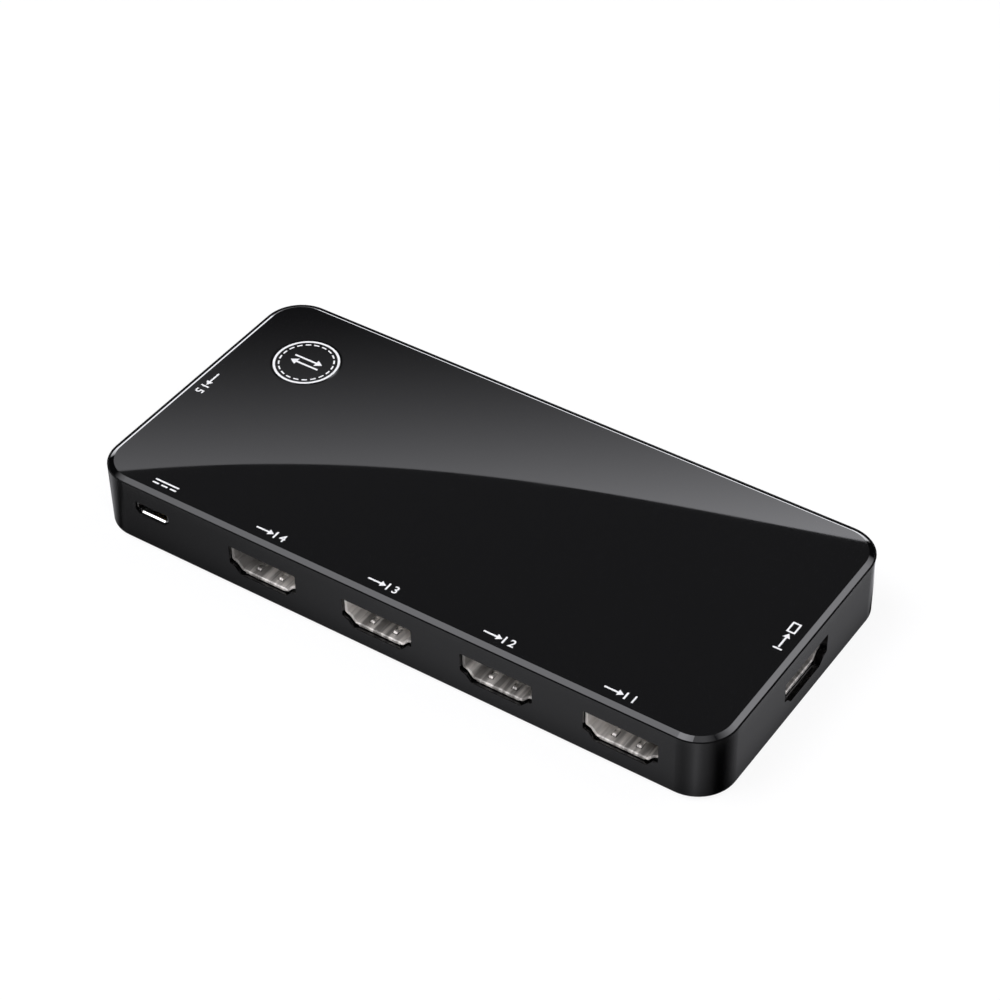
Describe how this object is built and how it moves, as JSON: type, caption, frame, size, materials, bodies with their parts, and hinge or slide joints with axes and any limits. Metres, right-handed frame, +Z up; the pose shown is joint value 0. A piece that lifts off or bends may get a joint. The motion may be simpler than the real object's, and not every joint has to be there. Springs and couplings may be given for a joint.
{
  "type": "video switch box",
  "caption": "Flat black rounded box with a bevelled gloss top panel and a round push key, video input sockets on the front and one end, an output socket on the other end and a power socket.",
  "frame": {"origin": "centre of the footprint, in the plane that the feet stand on", "axes": "+X along the long side towards the output socket, +Y towards the plain back wall, +Z up; the front wall with four inputs faces -Y"},
  "size_m": [0.134, 0.062, 0.0141],
  "materials": {
    "body_plastic": "satin black moulded plastic",
    "panel_gloss": "polished black acrylic with a bevelled edge",
    "adhesive": "thin double-sided adhesive film",
    "foot_rubber": "soft black rubber",
    "screw_steel": "nickel-plated steel",
    "socket_steel": "stamped plated steel",
    "insulator_black": "black moulded insulator",
    "contact_gold": "gold-plated contact strip",
    "board_green": "green solder mask on glass fibre board",
    "chip_black": "black epoxy package",
    "ceramic_white": "pale ceramic block",
    "capacitor_tan": "tan ceramic and tantalum blocks",
    "lamp_clear": "pale resin lamp package",
    "print_white": "white screen print"
  },
  "bodies": {
    "case": {"housing": "body_plastic", "bottom_cover": "body_plastic", "top_panel": "panel_gloss", "panel_adhesive": "adhesive", "rubber_feet": "foot_rubber", "cover_screws": "screw_steel", "board_screws": "screw_steel", "circuit_board": "board_green", "key_switch_base": "insulator_black", "key_switch_plate": "socket_steel", "key_switch_dome": "socket_steel", "power_shell": "socket_steel", "power_insulator": "insulator_black", "power_contacts": "contact_gold", "switch_chip": "chip_black", "control_chip": "chip_black", "receiver_chip": "chip_black", "chip_antenna": "ceramic_white", "voltage_regulator": "chip_black", "timing_crystal": "screw_steel", "capacitors": "capacitor_tan", "resistors": "chip_black", "protection_chips": "chip_black", "status_lamps": "lamp_clear", "input_1_shell": "socket_steel", "input_1_insulator": "insulator_black", "input_1_contacts": "contact_gold", "input_2_shell": "socket_steel", "input_2_insulator": "insulator_black", "input_2_contacts": "contact_gold", "input_3_shell": "socket_steel", "input_3_insulator": "insulator_black", "input_3_contacts": "contact_gold", "input_4_shell": "socket_steel", "input_4_insulator": "insulator_black", "input_4_contacts": "contact_gold", "input_5_shell": "socket_steel", "input_5_insulator": "insulator_black", "input_5_contacts": "contact_gold", "output_shell": "socket_steel", "output_insulator": "insulator_black", "output_contacts": "contact_gold"},
    "key": {"key_cap": "panel_gloss", "key_switch_plunger": "insulator_black"}
  },
  "joints": [
    {"name": "key_press", "type": "slide", "parent": "case", "child": "key", "axis": [0, 0, 1], "range_m": [-0.0004, 0], "stiffness_N_per_m": 5000, "deforming": ["key_switch_dome"]}
  ]
}
